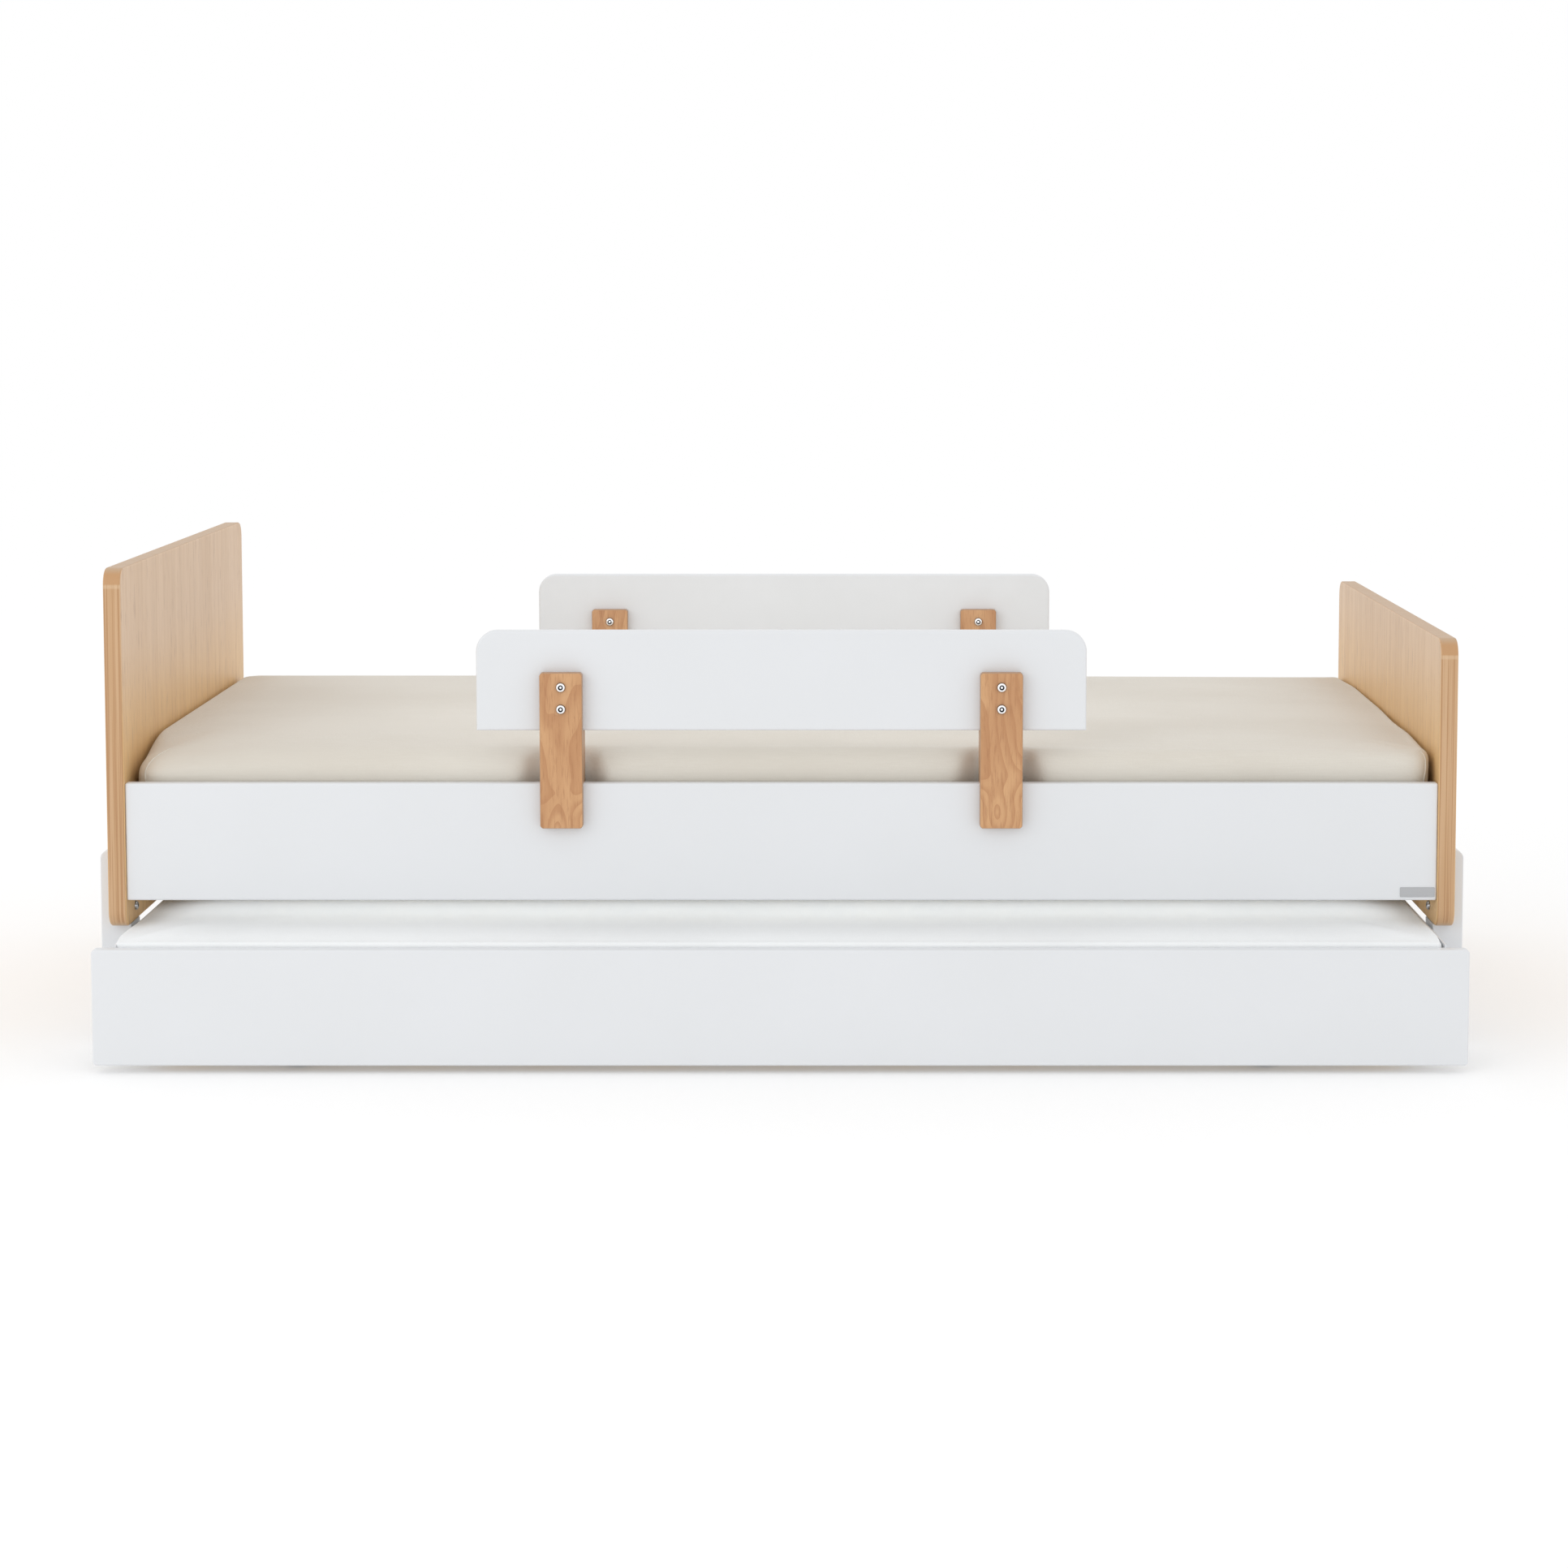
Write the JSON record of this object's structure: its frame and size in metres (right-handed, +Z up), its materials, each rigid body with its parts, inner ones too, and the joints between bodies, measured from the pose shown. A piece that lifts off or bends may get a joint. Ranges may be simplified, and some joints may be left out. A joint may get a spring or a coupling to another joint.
{
  "type": "child bed with trundle",
  "caption": "Low wooden child's single bed with oak end panels, white side rails and legs, lift-off guard rails, two mattresses and a roll-out trundle.",
  "frame": {"origin": "on the floor, under the middle of the whole bed's outer box with the trundle drawn out as it is at rest", "axes": "+X from the head end to the foot end, +Y from the front, where the trundle comes out, to the back, +Z up"},
  "size_m": [2.008, 1.1794, 0.718],
  "materials": {
    "oak_panel": "satin",
    "oak_bracket": "satin",
    "white_lacquer": "satin",
    "plain_wood": "matte",
    "beige_sheet": "matte",
    "white_sheet": "matte",
    "bolt_steel": "satin",
    "zinc_steel": "satin",
    "white_steel": "satin",
    "plate_metal": "satin",
    "glide_plastic": "matte",
    "webbing": "matte",
    "roller_nylon": "satin",
    "roller_rubber": "matte"
  },
  "bodies": {
    "bed_frame": {"bed_mattress": "beige_sheet", "bed_slats": "plain_wood", "footboard_panel": "oak_panel", "front_side_rail": "white_lacquer", "front_slat_ledger": "plain_wood", "headboard_panel": "oak_panel", "ledger_screws": "zinc_steel", "leg_bolts": "bolt_steel", "leg_front_foot": "white_lacquer", "leg_front_head": "white_lacquer", "leg_glides": "glide_plastic", "leg_rear_foot": "white_lacquer", "leg_rear_head": "white_lacquer", "name_plate": "plate_metal", "rail_barrel_nuts": "zinc_steel", "rail_bolts": "bolt_steel", "rear_side_rail": "white_lacquer", "rear_slat_ledger": "plain_wood", "slat_straps": "webbing"},
    "front_guard": {"front_guard_board": "white_lacquer", "front_guard_bolts": "bolt_steel", "front_guard_inner_bracket_foot": "oak_bracket", "front_guard_inner_bracket_head": "oak_bracket", "front_guard_outer_bracket_foot": "oak_bracket", "front_guard_outer_bracket_head": "oak_bracket", "front_guard_sleeve_nuts": "bolt_steel", "front_guard_spacers": "oak_bracket"},
    "rear_guard": {"rear_guard_board": "white_lacquer", "rear_guard_bolts": "bolt_steel", "rear_guard_inner_bracket_foot": "oak_bracket", "rear_guard_inner_bracket_head": "oak_bracket", "rear_guard_outer_bracket_foot": "oak_bracket", "rear_guard_outer_bracket_head": "oak_bracket", "rear_guard_sleeve_nuts": "bolt_steel", "rear_guard_spacers": "oak_bracket"},
    "trundle": {"trundle_axles": "zinc_steel", "trundle_back_board": "white_lacquer", "trundle_corner_angles": "zinc_steel", "trundle_corner_screws": "zinc_steel", "trundle_foot_side": "white_steel", "trundle_fork_screws": "zinc_steel", "trundle_front_board": "white_lacquer", "trundle_front_ledger": "plain_wood", "trundle_head_side": "white_steel", "trundle_ledger_screws": "zinc_steel", "trundle_mattress": "white_sheet", "trundle_rear_ledger": "plain_wood", "trundle_slats": "plain_wood", "trundle_wheel_forks": "zinc_steel"},
    "roller_front_head": {"roller_hub_front_head": "roller_nylon", "roller_tyre_front_head": "roller_rubber"},
    "roller_front_foot": {"roller_hub_front_foot": "roller_nylon", "roller_tyre_front_foot": "roller_rubber"},
    "roller_rear_head": {"roller_hub_rear_head": "roller_nylon", "roller_tyre_rear_head": "roller_rubber"},
    "roller_rear_foot": {"roller_hub_rear_foot": "roller_nylon", "roller_tyre_rear_foot": "roller_rubber"}
  },
  "joints": [
    {"name": "front_guard_lift", "type": "slide", "parent": "bed_frame", "child": "front_guard", "axis": [0, 0, 1], "range_m": [0, 0.09]},
    {"name": "rear_guard_lift", "type": "slide", "parent": "bed_frame", "child": "rear_guard", "axis": [0, 0, 1], "range_m": [0, 0.09]},
    {"name": "trundle_slide", "type": "slide", "parent": "bed_frame", "child": "trundle", "axis": [0, -1, 0], "range_m": [-0.1345, 0.85]},
    {"name": "roller_spin_front_head", "type": "hinge", "parent": "trundle", "child": "roller_front_head", "pos_m": [-0.7, -0.52375, 0.02], "axis": [1, 0, 0], "continuous": true},
    {"name": "roller_spin_front_foot", "type": "hinge", "parent": "trundle", "child": "roller_front_foot", "pos_m": [0.7, -0.52375, 0.02], "axis": [1, 0, 0], "continuous": true},
    {"name": "roller_spin_rear_head", "type": "hinge", "parent": "trundle", "child": "roller_rear_head", "pos_m": [-0.7, 0.37525, 0.02], "axis": [1, 0, 0], "continuous": true},
    {"name": "roller_spin_rear_foot", "type": "hinge", "parent": "trundle", "child": "roller_rear_foot", "pos_m": [0.7, 0.37525, 0.02], "axis": [1, 0, 0], "continuous": true}
  ],
  "couplings": [
    {"joint": "roller_spin_front_head", "follows": "trundle_slide", "rad_per_m": 50},
    {"joint": "roller_spin_front_foot", "follows": "trundle_slide", "rad_per_m": 50},
    {"joint": "roller_spin_rear_head", "follows": "trundle_slide", "rad_per_m": 50},
    {"joint": "roller_spin_rear_foot", "follows": "trundle_slide", "rad_per_m": 50}
  ]
}
